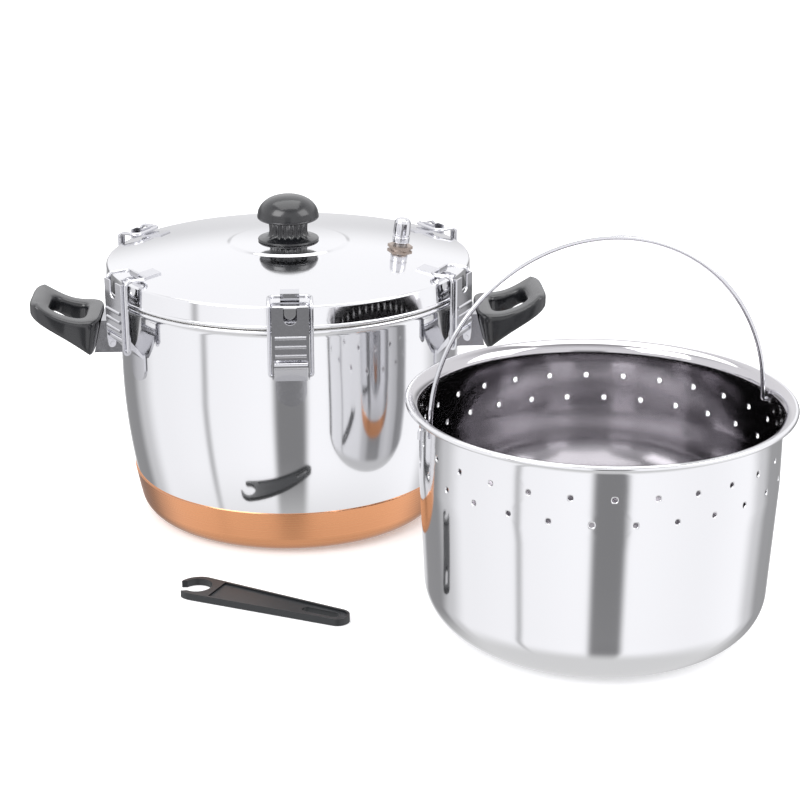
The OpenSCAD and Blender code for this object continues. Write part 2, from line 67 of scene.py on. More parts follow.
# Grey of the studio's flags by direction, in degrees from the front towards the right
FLAGS = [(-180, 0.85), (180, 0.85), (-168, 0.75), (-158, 0.32), (-136, 0.32), (-122, 0.7), (-104, 1.1),
         (-64, 1.15), (-60, 0.55), (-56, 1.15), (-15, 1.2), (-9, 0.26), (7, 0.26), (13, 1.2), (62, 1.15),
         (98, 1.2), (114, 0.75), (128, 0.4), (150, 0.36), (162, 0.7)]
JOINTS = {j["name"]: j for j in frame["joints"]}


def high(node, axis):
    """A CAD node's highest coordinate on an axis, in millimetres."""
    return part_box(node)[1][axis] / MM


def low(node, axis):
    """A CAD node's lowest coordinate on an axis, in millimetres."""
    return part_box(node)[0][axis] / MM


def length(name, value, about):
    """A size in millimetres that the panel shows."""
    return FloatProperty(name=name, description=about, default=value, min=0.0)


def paint(name, value, about):
    """A colour as an sRGB hex value."""
    return StringProperty(name=name, description=about, default=value)


# ---- sizes and colours ----

class PotSizes(bpy.types.PropertyGroup):
    """Sizes of the pot and its copper cup."""
    rim: length("Rim", high("pot_body", 2), "Height of the top of the rim")
    flare: length("Flare", 7.0, "Radius of the flare under the rim")
    roll: length("Roll", 1.5, "Radius of the rolled edge")
    sheet: length("Sheet", 1.1, "Thickness of the steel")
    drop: length("Belly drop", 10.5, "How far the wall draws in from belly to heel")
    belly: length("Belly", 105.0, "Height where the wall becomes straight")
    heel: length("Heel", 14.0, "Radius of the bend at the base")
    lean: FloatProperty(name="Heel lean", description="Lean of the wall above the heel", default=13.0)
    copper: length("Copper", 0.9, "Thickness of the copper cup")
    copper_top: length("Copper edge", high("copper_base", 2), "Height of the copper cup's edge")


class LidSizes(bpy.types.PropertyGroup):
    """Sizes of the lid and knob."""
    crown: length("Crown", high("lid_shell", 2), "Height of the flat crown")
    crown_radius: length("Crown radius", 39.0, "Radius of the flat crown")
    sheet: length("Sheet", 0.9, "Thickness of the steel")
    step: length("Step", 1.4, "Drop from the crown to the dome")
    drop: length("Dome drop", 9.6, "Fall of the dome from crown to edge")
    edge: length("Edge", 1.6, "Radius of the bend at the edge")
    bead: length("Bead", 1.3, "Radius of the bead at the skirt's foot")
    skirt: length("Skirt", 13.4, "Height of the skirt")
    ribs: IntProperty(name="Knob ribs", description="Flutes round the knob's neck", default=20)
    cap: length("Knob cap", 16.5, "Height of the knob's cap")
    neck: length("Knob neck", 12.9, "Smallest radius of the knob's neck")
    weight: length("Weight", 11.6, "Diameter of the vent's weight")
    weight_height: length("Weight height", 17.0, "Height of the vent's weight")


class BasketSizes(bpy.types.PropertyGroup):
    """Sizes of the basket and its bail."""
    top: length("Top", high("basket", 2), "Height of the rim")
    wall: length("Wall", 106.5, "Outer radius of the straight wall")
    rim: length("Rim", (high("basket", 0) - low("basket", 0)) / 2, "Outer radius of the rim")
    sheet: length("Sheet", 0.9, "Thickness of the steel")
    heel: length("Heel", 28.0, "Radius of the bend at the base")
    lean: length("Lean", 3.5, "How far the wall draws in to the base")
    straight: length("Straight", 46.6, "Depth below the rim where the wall starts to lean")
    flare: length("Flare", 7.0, "Radius of the flare under the rim")
    roll: length("Roll", 1.5, "Radius of the rolled edge")
    upper: length("Upper row", 22.0, "Depth of the upper row of holes below the rim")
    lower: length("Lower row", 37.0, "Depth of the lower row of holes below the rim")
    hole: length("Hole", 3.2, "Diameter of each hole")
    holes: IntProperty(name="Holes", description="Holes in each row", default=28)
    phase: FloatProperty(name="Phase", description="First hole, as a share of the spacing", default=0.65)
    wire: length("Wire", 2.8, "Diameter of the bail's wire")
    wire_gap: length("Wire gap", 0.7, "Gap between the wire and the wall's inside")
    wire_leg: length("Wire leg", 3.0, "Straight leg of the wire above its hole")
    wire_bend: length("Wire bend", 1.8, "Radius of the wire's bends at its hole")
    hook: length("Hook", 3.2, "Distance of the wire's end from the wall's outside")
    hook_drop: length("Hook drop", 6.0, "Length of the wire's end below its hole")


class ClampSizes(bpy.types.PropertyGroup):
    """Sizes of a clamp's wire bail."""
    wire: length("Wire", 2.5, "Diameter of the wire")
    width: length("Width", 26.4, "Distance between the middles of the two legs")
    reach: length("Reach", 15.0, "Distance of the bar in from the legs")
    bend: length("Bend", 4.0, "Radius of the upper bends")
    foot: length("Foot bend", 1.55, "Radius of the bends at the turned-in ends")
    end: length("End", 10.45, "Distance of each turned-in end from the middle")


class GripSizes(bpy.types.PropertyGroup):
    """Sizes of the pot's handle grips."""
    width: length("Width", 59.0, "Width of a grip")
    hole_length: length("Hole length", 23.0, "Length of the finger hole")
    hole_width: length("Hole width", 32.0, "Width of the finger hole")
    rise: length("Rise", 12.0, "How far the top sweeps up to the tip")
    lift: length("Lift", 26.0, "How far the underside sweeps up to the tip")
    slant: length("Slant", 6.0, "How far the root's face leans out at its foot")
    depth: length("Depth", 24.3, "Depth of the grip at its root")


class Finishes(bpy.types.PropertyGroup):
    """Colours of the finishes."""
    steel: paint("Steel", "#E4E4E6", "Polished stainless steel")
    # The inner steel is the basket's steel made darker: painted shade for the basket's inside
    inner: paint("Inner steel", "#C2C0C3", "The basket's inside")
    clamp: paint("Clamp steel", "#D6D6DA", "Plated clamps and wire")
    copper: paint("Copper", "#E2A074", "Copper cup")
    copper_edge: paint("Copper edge", "#B87C55", "Darker band at the foot of the copper")
    phenolic: paint("Phenolic", "#17181B", "Handles and knob")
    nylon: paint("Nylon", "#15181B", "Opening key")
    bronze: paint("Bronze", "#A89A90", "Vent nut")
    silicone: paint("Silicone", "#D8D6D0", "Seal")


def sizes(name):
    """The scene's group of sizes or colours of that name."""
    return getattr(bpy.context.scene, "canner_" + name)


# ---- surfaces ----

def smooth(obj, angle=35.0):
    """Shades an object smooth, with creases sharper than the angle kept."""
    obj.data.shade_smooth()
    obj.data.set_sharp_from_angle(angle=math.radians(angle))
    return obj


def surface(name, grid, wrap_u=True, wrap_v=True, angle=35.0):
    """A mesh from a grid of points in millimetres: point (i, j) joins i+1 and j+1, wrapping where asked."""
    nu, nv = grid.shape[:2]
    i = np.arange(nu if wrap_u else nu - 1)[:, None]
    j = np.arange(nv if wrap_v else nv - 1)[None, :]
    i2, j2 = (i + 1) % nu, (j + 1) % nv
    faces = np.stack([i * nv + j, i2 * nv + j, i2 * nv + j2, i * nv + j2], -1).reshape(-1, 4)
    return mesh(name, grid.reshape(-1, 3), faces, angle)


def mesh(name, points, faces, angle=35.0):
    """A closed mesh from points in millimetres and faces, with doubles merged and faces turned outwards."""
    data = bpy.data.meshes.new(name)
    data.from_pydata((points * MM).tolist(), [], faces.tolist())
    obj = bpy.data.objects.new(name, data)
    bpy.context.scene.collection.objects.link(obj)
    bm = bmesh.new()
    bm.from_mesh(data)
    bmesh.ops.remove_doubles(bm, verts=bm.verts, dist=1e-6)
    bmesh.ops.dissolve_degenerate(bm, edges=bm.edges, dist=1e-7)
    bmesh.ops.recalc_face_normals(bm, faces=bm.faces)
    bm.to_mesh(data)
    bm.free()
    return smooth(obj, angle)


def arc(cx, cz, r, a0, a1, n=12):
    """Points on a circle about (cx, cz), from angle a0 to a1 in degrees."""
    a = np.radians(np.linspace(a0, a1, n + 1))
    return np.stack([cx + r * np.cos(a), cz + r * np.sin(a)], -1)


def revolve(name, profile, centre=(0, 0), turns=288, flutes=0, depth=0.0, between=(0, 0), angle=35.0):
    """A closed (r, z) profile turned about a vertical axis. Flutes wave the radius between two heights."""
    a = np.linspace(0, 2 * np.pi, turns, endpoint=False)[:, None]
    r, z = profile[None, :, 0], profile[None, :, 1]
    inside = ((z > between[0]) & (z < between[1])) * depth
    r = r * (1 - inside * (0.5 + 0.5 * np.cos(flutes * a)))
    grid = np.stack([centre[0] + r * np.cos(a), centre[1] + r * np.sin(a), z + 0 * a], -1)
    return surface(name, grid, angle=angle)


def shell(outer, inner):
    """A closed profile from an outer and an inner side curve that run the same way."""
    return np.concatenate([outer, inner[::-1]])


def tube(name, path, r, sides=20):
    """A round wire: a circle carried along a path, square to it, with closed round ends."""
    tangent = np.gradient(path, axis=0)
    tangent /= np.linalg.norm(tangent, axis=1, keepdims=True)
    flat = np.linalg.svd(path - path.mean(0))[2][2]
    side = np.broadcast_to(flat, path.shape)
    other = np.cross(tangent, side)
    other /= np.linalg.norm(other, axis=1, keepdims=True)
    side = np.cross(other, tangent)
    a = np.linspace(0, 2 * np.pi, sides, endpoint=False)[None, :, None]
    ring = path[:, None] + r * (np.cos(a) * side[:, None] + np.sin(a) * other[:, None])
    start = np.broadcast_to(path[0], ring[:1].shape)
    stop = np.broadcast_to(path[-1], ring[:1].shape)
    return surface(name, np.concatenate([start, ring, stop]), wrap_u=False, angle=60.0)


def bent(corners, radii, n=8):
    """A path through corner points with each inner corner rounded to its radius by a circular arc."""
    out = [corners[0]]
    for before, corner, after, r in zip(corners, corners[1:], corners[2:], radii):
        u = (before - corner) / np.linalg.norm(before - corner)
        v = (after - corner) / np.linalg.norm(after - corner)
        half = math.acos(np.clip(u @ v, -1, 1)) / 2
        middle = corner + (u + v) / np.linalg.norm(u + v) * r / math.sin(half)
        p, q = corner + u * r / math.tan(half), corner + v * r / math.tan(half)
        t = np.linspace(0, 1, n + 1)[:, None]
        turn = np.pi - 2 * half
        a, b = p - middle, q - middle
        out += list(middle + (np.sin((1 - t) * turn) * a + np.sin(t * turn) * b) / math.sin(turn))
    return np.array(out + [corners[-1]])


def at_clamp(points, i):
    """Turns points drawn with x outwards to clamp i's place round the lid."""
    a = math.radians(-90 + (i - 1) * 60)
    c, s = math.cos(a), math.sin(a)
    x, y = points[..., 0], points[..., 1]
    return np.stack([c * x - s * y, s * x + c * y, points[..., 2]], -1)


# ---- materials ----

def linear(code):
    """An sRGB hex value as linear RGBA."""
    v = np.array([int(code[k:k + 2], 16) for k in (1, 3, 5)]) / 255
    v = np.where(v <= 0.04045, v / 12.92, ((v + 0.055) / 1.055) ** 2.4)
    return (*v.tolist(), 1.0)


def add(tree, kind, settings=(), **links):
    """Adds a node. Settings are (name, value) pairs for its properties or inputs; links feed its inputs."""
    node = tree.nodes.new(kind)
    for key, value in dict(settings).items():
        if isinstance(key, str) and key[0].islower():
            setattr(node, key, value)
        else:
            node.inputs[key].default_value = value
    for key, source in links.items():
        slot = int(key[1:]) if key[0] == "i" and key[1:].isdigit() else key.replace("_", " ")
        tree.links.new(node.inputs[slot], source)
    return node


def material(name, **base):
    """A Principled material and its tree. Keyword names are the shader's sockets, with _ for spaces."""
    mat = bpy.data.materials.new(name)
    mat.use_nodes = True
    tree = mat.node_tree
    shader = tree.nodes["Principled BSDF"]
    for key, value in base.items():
        shader.inputs[key.replace("_", " ")].default_value = value
    return mat, tree, shader


def rings(tree, centre=(0, 0, 0)):
    """Radius and height of the surface about a vertical axis through centre, as a 1D pattern coordinate."""
    spot = add(tree, "ShaderNodeTexCoord").outputs["Object"]
    moved = add(tree, "ShaderNodeMapping", {"Location": [-v * MM for v in centre]}, Vector=spot)
    flat = add(tree, "ShaderNodeVectorMath", {"operation": "MULTIPLY", 1: (1, 1, 0)}, i0=moved.outputs[0])
    radius = add(tree, "ShaderNodeVectorMath", {"operation": "LENGTH"}, i0=flat.outputs[0])
    parts = add(tree, "ShaderNodeSeparateXYZ", Vector=moved.outputs[0])
    both = add(tree, "ShaderNodeMath", {"operation": "ADD"}, i0=radius.outputs["Value"],
               i1=parts.outputs["Z"])
    return moved.outputs[0], both.outputs[0], parts.outputs["Z"]


def spun_steel(name, code, rough, centre=(0, 0, 0), haze=0.05):
    """Stainless steel, spun and buffed to a mirror. The buffing leaves hair-fine rings about the axis,
    0.6 mm apart here so that they show, and hands leave a faint haze some 40 mm across."""
    mat, tree, shader = material(name, Base_Color=linear(code), Metallic=1.0)
    spot, ring, _ = rings(tree, centre)
    lines = add(tree, "ShaderNodeTexNoise",
                {"noise_dimensions": "1D", "Scale": 1 / (0.6 * MM), "Detail": 2.0}, W=ring)
    smudge = add(tree, "ShaderNodeTexNoise", {"Scale": 1 / (40 * MM), "Detail": 3.0}, Vector=spot)
    level = add(tree, "ShaderNodeMapRange", {"To Min": rough, "To Max": rough + haze},
                Value=smudge.outputs["Fac"])
    tree.links.new(shader.inputs["Roughness"], level.outputs[0])
    bump = add(tree, "ShaderNodeBump", {"Strength": 0.04, "Distance": 0.02 * MM},
               Height=lines.outputs["Fac"])
    tree.links.new(shader.inputs["Normal"], bump.outputs[0])
    return mat


def plated_steel(name, code, rough, grain):
    """Pressed and plated spring steel. Tumbling leaves short scratches and small shifts in gloss."""
    mat, tree, shader = material(name, Base_Color=linear(code), Metallic=1.0)
    spot = add(tree, "ShaderNodeTexCoord").outputs["Object"]
    marks = add(tree, "ShaderNodeTexNoise", {"Scale": 1 / (grain * MM), "Detail": 4.0}, Vector=spot)
    level = add(tree, "ShaderNodeMapRange", {"To Min": rough * 0.6, "To Max": rough * 1.5},
                Value=marks.outputs["Fac"])
    tree.links.new(shader.inputs["Roughness"], level.outputs[0])
    bump = add(tree, "ShaderNodeBump", {"Strength": 0.05, "Distance": 0.05 * MM},
               Height=marks.outputs["Fac"])
    tree.links.new(shader.inputs["Normal"], bump.outputs[0])
    return mat


def spun_copper():
    """Copper, spun over the base and lacquered. Turning lines run round it, and its colour darkens towards
    its foot."""
    tone, top = sizes("finishes"), sizes("pot").copper_top
    mat, tree, shader = material("spun_copper", Metallic=1.0)
    spot, ring, height = rings(tree)
    band = add(tree, "ShaderNodeMapRange", {"interpolation_type": "SMOOTHSTEP", "From Min": 0.05 * top * MM,
               "From Max": 0.3 * top * MM}, Value=height)
    colours = {"data_type": "RGBA", 6: linear(tone.copper_edge), 7: linear(tone.copper)}
    mix = add(tree, "ShaderNodeMix", colours, i0=band.outputs[0])
    tree.links.new(shader.inputs["Base Color"], mix.outputs[2])
    lines = add(tree, "ShaderNodeTexNoise",
                {"noise_dimensions": "1D", "Scale": 1 / (0.8 * MM), "Detail": 3.0}, W=ring)
    level = add(tree, "ShaderNodeMapRange", {"To Min": 0.16, "To Max": 0.34}, Value=lines.outputs["Fac"])
    tree.links.new(shader.inputs["Roughness"], level.outputs[0])
    bump = add(tree, "ShaderNodeBump", {"Strength": 0.12, "Distance": 0.03 * MM},
               Height=lines.outputs["Fac"])
    tree.links.new(shader.inputs["Normal"], bump.outputs[0])
    return mat


def moulded(name, code, rough, grain, coat=0.0, depth=0.1):
    """A moulded plastic. The mould's skin gives a faint orange peel; handling dulls it in patches."""
    mat, tree, shader = material(name, Base_Color=linear(code), IOR=1.55, Coat_Weight=coat,
                                 Coat_Roughness=0.08)
    spot = add(tree, "ShaderNodeTexCoord").outputs["Object"]
    peel = add(tree, "ShaderNodeTexNoise", {"Scale": 1 / (grain * MM), "Detail": 2.0}, Vector=spot)
    worn = add(tree, "ShaderNodeTexNoise", {"Scale": 1 / (18 * MM), "Detail": 3.0}, Vector=spot)
    level = add(tree, "ShaderNodeMapRange", {"To Min": rough * 0.8, "To Max": rough * 1.25},
                Value=worn.outputs["Fac"])
    tree.links.new(shader.inputs["Roughness"], level.outputs[0])
    bump = add(tree, "ShaderNodeBump", {"Strength": depth, "Distance": 0.06 * MM},
               Height=peel.outputs["Fac"])
    tree.links.new(shader.inputs["Normal"], bump.outputs[0])
    return mat


MATS = {}


def finish(obj, mat):
    """Gives a piece its material."""
    obj.data.materials.clear()
    obj.data.materials.append(MATS[mat])
    return obj


def place(obj, mat, slot, body, *nodes):
    """Finishes a new piece, lets it ride on its body and stand for its CAD nodes."""
    finish(obj, mat)
    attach(obj, body)
    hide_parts(*nodes)
    return obj


# ---- operators ----

class Step(bpy.types.Operator):
    """Shared behaviour of the canner's operators."""
    bl_options = {"REGISTER", "UNDO"}

    def execute(self, context):
        self.build()
        return {"FINISHED"}


class CANNER_OT_stage(Step):
    """Camera, floor, studio surroundings and lights"""
    bl_idname = "canner.stage"
    bl_label = "Stage"

    def build(self):
        scene = bpy.context.scene
        scene.view_settings.view_transform = "Standard"
        eye = bpy.data.objects.new("camera", bpy.data.cameras.new("camera"))
        eye.location = EYE
        eye.rotation_euler = (math.radians(90 - TILT), 0, math.radians(TURN))
        eye.data.sensor_width = 36
        eye.data.lens = LENS
        scene.collection.objects.link(eye)
        scene.camera = eye
        self.floor(scene)
        self.surroundings(scene)
        self.lamp(scene, "key_light", (-1.3, -1.2, 1.7), 1.4, 26)
        self.lamp(scene, "fill_light", (1.6, -0.6, 1.3), 1.2, 12)
        self.lamp(scene, "top_light", (0, 0.3, 2.0), 1.8, 22)

    def floor(self, scene):
        """A pale floor, wide enough to pass out of view."""
        side, z = 6000.0, -0.3
        grid = np.array([[(-side, -side, z), (-side, side, z)], [(side, -side, z), (side, side, z)]])
        floor = surface("floor", grid, False, False)
        mat, tree, shader = material("floor_paper", Base_Color=(0.93, 0.93, 0.935, 1), Roughness=0.45)
        shader.inputs["Emission Color"].default_value = (1, 1, 1, 1)
        shader.inputs["Emission Strength"].default_value = 0.28
        floor.data.materials.append(mat)
        floor.visible_glossy = False

    def surroundings(self, scene):
        """The room that the steel mirrors: grey flags stand all round at eye level, pale paper lies below
        them and a white ceiling hangs above, darker straight overhead. The camera itself sees plain white."""
        world = bpy.data.worlds.new("studio")
        scene.world = world
        world.use_nodes = True
        tree = world.node_tree
        tree.nodes.clear()
        way = add(tree, "ShaderNodeTexCoord").outputs["Generated"]
        parts = add(tree, "ShaderNodeSeparateXYZ", Vector=way)
        front = add(tree, "ShaderNodeMath", {"operation": "MULTIPLY", 1: -1.0}, i0=parts.outputs["Y"])
        turn = add(tree, "ShaderNodeMath", {"operation": "ARCTAN2"}, i0=parts.outputs["X"],
                   i1=front.outputs[0])
        share = add(tree, "ShaderNodeMapRange", {"From Min": -math.pi, "From Max": math.pi},
                    Value=turn.outputs[0])
        flags = add(tree, "ShaderNodeValToRGB", Fac=share.outputs[0])
        flags.color_ramp.interpolation = "EASE"
        ramp = flags.color_ramp.elements
        for k, (degrees, grey) in enumerate(FLAGS):
            spot = degrees / 360 + 0.5
            element = ramp[k] if k < 2 else ramp.new(spot)
            element.position = spot
            element.color = (grey, grey, grey * 1.02, 1)
        ceiling = add(tree, "ShaderNodeMapRange", {"interpolation_type": "SMOOTHSTEP", "From Min": 0.08,
                      "From Max": 0.3}, Value=parts.outputs["Z"])
        overhead = add(tree, "ShaderNodeMapRange", {"interpolation_type": "SMOOTHSTEP", "From Min": 0.62,
                       "From Max": 0.97}, Value=parts.outputs["Z"])
        paper = add(tree, "ShaderNodeMapRange", {"interpolation_type": "SMOOTHSTEP", "From Min": -0.5,
                    "From Max": -0.85}, Value=parts.outputs["Z"])
        seen = add(tree, "ShaderNodeLightPath").outputs["Is Camera Ray"]
        colour = flags.outputs[0]
        layers = ((ceiling.outputs[0], 1.18, 1.2), (overhead.outputs[0], 0.5, 0.51),
                  (paper.outputs[0], 0.8, 0.8), (seen, 1, 1))
        for amount, grey, blue in layers:
            layer = {"data_type": "RGBA", 7: (grey, grey, blue, 1)}
            colour = add(tree, "ShaderNodeMix", layer, i0=amount, i6=colour).outputs[2]
        glow = add(tree, "ShaderNodeBackground", {"Strength": 1.0}, Color=colour)
        add(tree, "ShaderNodeOutputWorld", Surface=glow.outputs[0])

    def lamp(self, scene, name, spot, side, power):
        """A square soft light that faces the object."""
        data = bpy.data.lights.new(name, "AREA")
        data.size = side
        data.energy = power
        obj = bpy.data.objects.new(name, data)
        obj.location = spot
        obj.rotation_euler = (Vector((0.06, -0.05, 0.1)) - Vector(spot)).to_track_quat("-Z", "Y").to_euler()
        scene.collection.objects.link(obj)


class CANNER_OT_materials(Step):
    """All the finishes"""
    bl_idname = "canner.materials"
    bl_label = "Finishes"

    def build(self):
        tone = sizes("finishes")
        middle = [*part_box("basket")[0].lerp(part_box("basket")[1], 0.5)]
        centre = (middle[0] / MM, middle[1] / MM, 0)
        MATS["steel"] = spun_steel("spun_stainless_steel", tone.steel, 0.05)
        MATS["basket"] = spun_steel("spun_basket_steel", tone.steel, 0.06, centre)
        # The basket's inside gets a darker copy of its steel: painted shade
        MATS["inside"] = spun_steel("shaded_basket_inside", tone.inner, 0.05, centre, 0.06)
        MATS["clamp"] = plated_steel("plated_spring_steel", tone.clamp, 0.13, 1.5)
        MATS["zinc"] = plated_steel("zinc_plated_steel", "#A9A9AC", 0.25, 1.0)
        MATS["bracket"] = plated_steel("pressed_stainless_steel", "#B4B4B8", 0.2, 3.0)
        MATS["bronze"] = plated_steel("turned_bronze", tone.bronze, 0.3, 1.0)
        MATS["copper"] = spun_copper()
        MATS["phenolic"] = moulded("moulded_phenolic", tone.phenolic, 0.24, 0.7, 0.3, 0.05)
        MATS["nylon"] = moulded("moulded_nylon", tone.nylon, 0.36, 0.5, 0.0, 0.2)
        MATS["silicone"] = moulded("moulded_silicone", tone.silicone, 0.55, 0.8)


def heel_top(s):
    """Height at which the heel's arc passes into the wall."""
    return s.copper + s.heel * (1 - math.sin(math.radians(s.lean)))


def pot_radius(z, s):
    """Outer radius of the pot at height z: straight above the belly, and a parabola in below it."""
    wall = high("pot_body", 0) - s.flare - s.roll + 0.4
    return wall - s.drop * (np.clip(s.belly - z, 0, None) / (s.belly - heel_top(s))) ** 2


def pot_side(s, off, top, n):
    """The pot's outside from the base's middle up to a height, moved outwards: base, heel arc, belly."""
    z0 = heel_top(s)
    lean = math.radians(s.lean)
    centre = pot_radius(z0, s) - s.heel * math.cos(lean)
    heel = arc(centre, s.copper + s.heel, s.heel + off, -90, -s.lean, 16)
    z = np.linspace(z0, top, n)[1:]
    return np.concatenate([[[0, s.copper - off]], heel, np.stack([pot_radius(z, s) + off, z], -1)])


class CANNER_OT_pot(Step):
    """Pot body and the copper cup on its base"""
    bl_idname = "canner.pot"
    bl_label = "Pot"

    def build(self):
        s = sizes("pot")
        wall = pot_radius(s.belly, s)
        z = s.rim - s.sheet - s.flare
        lip = wall + s.flare
        edge = lip - 0.4
        outer = np.concatenate([pot_side(s, 0, s.belly, 40), arc(lip, z, s.flare, 180, 100, 16)])
        roll = arc(edge, s.rim - s.roll, s.roll, -150, 90, 20)
        inner = np.concatenate([pot_side(s, -s.sheet, s.belly, 40),
                                arc(lip, z, s.flare + s.sheet, 180, 95, 16)])
        place(revolve("pot", np.concatenate([outer, roll, inner[::-1]])), "steel", "polished_steel", "root",
              "pot_body")
        cup = shell(pot_side(s, s.copper, s.copper_top, 24), pot_side(s, 0.02, s.copper_top, 24))
        place(revolve("copper_cup", cup), "copper", "copper", "root", "copper_base")


def dome(s, r, off=0.0):
    """Height of the lid's outside at radius r: a parabola from the crown's foot to the edge."""
    r0 = s.crown_radius + 3
    r1 = lid_radius(s) - s.edge
    return s.crown - s.step - s.drop * (r ** 2 - r0 ** 2) / (r1 ** 2 - r0 ** 2) - off


def lid_radius(s):
    """Outer radius of the lid's skirt, inside its bead."""
    return high("lid_shell", 0) - s.bead + 0.1


def lid_side(s, off):
    """The lid's surface from the middle of the crown to the skirt's foot, moved inwards."""
    r0, r1 = s.crown_radius + 3, lid_radius(s) - s.edge
    r = np.linspace(r0, r1, 48)
    step = np.linspace(0, 1, 9)[:-1]
    ease = step ** 2 * (3 - 2 * step)
    start = s.crown_radius - 1
    shoulder = np.stack([start + (r0 - start) * step, s.crown - s.step * ease - off], -1)
    flank = np.stack([r, dome(s, r, off)], -1)
    top = s.crown - s.step - s.drop - s.edge
    edge = arc(r1, top, s.edge - off, 75, 0, 10)
    foot = np.array([[lid_radius(s) - off, top - s.skirt + s.edge]])
    return np.concatenate([[[0, s.crown - off]], shoulder, flank, edge, foot])


class CANNER_OT_lid(Step):
    """Domed lid, its bead and the knob"""
    bl_idname = "canner.lid"
    bl_label = "Lid"

    def build(self):
        s = sizes("lid")
        outer, inner = lid_side(s, 0), lid_side(s, s.sheet)
        r, foot = outer[-1]
        bead = arc(r - 0.1, foot, s.bead, 60, -120, 18)
        profile = np.concatenate([outer[:-1], bead, inner[::-1]])
        place(revolve("lid", profile), "steel", "polished_steel", "lid", "lid_shell")
        self.knob(s)

    def knob(self, s):
        """A mushroom knob: flange, fluted neck and a domed cap."""
        r, top, z = high("knob", 0), high("knob", 2), low("knob", 2)
        cap = top - s.cap
        flange = np.concatenate([[[0, z]], arc(r - 1.2, z + 0.9, 0.9, -60, 75, 8)])
        neck = np.array([[2.6, z + 2.6], [0.8, z + 3.2], [0.2, z + 5], [0, z + 8], [0.3, cap - 3]])
        neck[:, 0] += s.neck
        under = arc(r - 6.5, cap + 1.0, 2.0, -120, -90, 4) + [0, 0.4]
        lip = arc(r - 2.2, cap + 2.0, 2.2, -80, 20, 10)
        a = np.radians(np.linspace(12, 90, 28))
        crown = np.stack([(r - 0.15) * np.cos(a) ** 0.9, cap + 2.6 + (top - cap - 2.6) * np.sin(a)], -1)
        crown[-1, 0] = 0
        profile = np.concatenate([flange, neck, under, lip, crown])
        knob = revolve("knob_cap", profile, turns=240, flutes=s.ribs, depth=0.09, between=(z + 4, cap - 1),
                       angle=50)
        place(knob, "phenolic", "bakelite", "lid", "knob")


def basket_side(s, off):
    """The basket's outside from the base's middle to the foot of the holes, moved outwards."""
    wall = s.wall
    base = np.array([[0.0, -off]])
    heel = arc(wall - s.lean - s.heel, s.heel, s.heel + off, -90, 0, 24)
    return np.concatenate([base, heel, [[wall + off, s.top - s.straight]]])


def hole_field(s, edge=6):
    """Wall with two staggered rows of holes, as points and faces. The wall is a chequerboard of cells, each
    as wide as half the spacing. A cell with a hole is filled by rings between its square outline and the
    circle, and a plain cell is an even grid. Each point (arc, z) is then wrapped round the wall."""
    width = np.pi * s.wall / s.holes
    rows = [s.top - s.upper, s.top - s.lower]
    tall = rows[0] - rows[1]
    n = 4 * edge
    k, f = np.arange(n) // edge, (np.arange(n) % edge) / edge * 2 - 1
    square = np.stack([np.choose(k, [f, 1 + 0 * f, -f, -1 + 0 * f]),
                       np.choose(k, [-1 + 0 * f, f, 1 + 0 * f, -f])], -1) * [width / 2, tall / 2]
    circle = square / np.linalg.norm(square, axis=1, keepdims=True) * s.hole / 2
    blend = np.array([0, 0.12, 0.4, 1.0])[:, None, None]
    rings_cell = (circle * (1 - blend) + square * blend).reshape(-1, 2)
    i, j = np.meshgrid(np.arange(len(blend) - 1), np.arange(n), indexing="ij")
    rings_faces = np.stack([i * n + j, (i + 1) * n + j, (i + 1) * n + (j + 1) % n, i * n + (j + 1) % n], -1)
    line = np.linspace(-1, 1, edge + 1)
    x, y = np.meshgrid(line * width / 2, line * tall / 2, indexing="ij")
    plain_cell = np.stack([x, y], -1).reshape(-1, 2)
    i, j = np.meshgrid(np.arange(edge), np.arange(edge), indexing="ij")
    m = edge + 1
    plain_faces = np.stack([i * m + j, i * m + j + 1, (i + 1) * m + j + 1, (i + 1) * m + j], -1)
    points, faces, count = [], [], 0
    for row in (0, 1):
        for column in range(2 * s.holes):
            holed = column % 2 == row
            cell = rings_cell if holed else plain_cell
            a = ((column / 2 + s.phase) / s.holes) * 2 * np.pi - np.pi / 2 + cell[:, 0] / s.wall
            points.append(np.stack([s.wall * np.cos(a), s.wall * np.sin(a), rows[row] + cell[:, 1]], -1))
            faces.append((rings_faces if holed else plain_faces).reshape(-1, 4) + count)
            count += len(cell)
    return np.concatenate(points), np.concatenate(faces), rows, tall, 2 * s.holes * edge


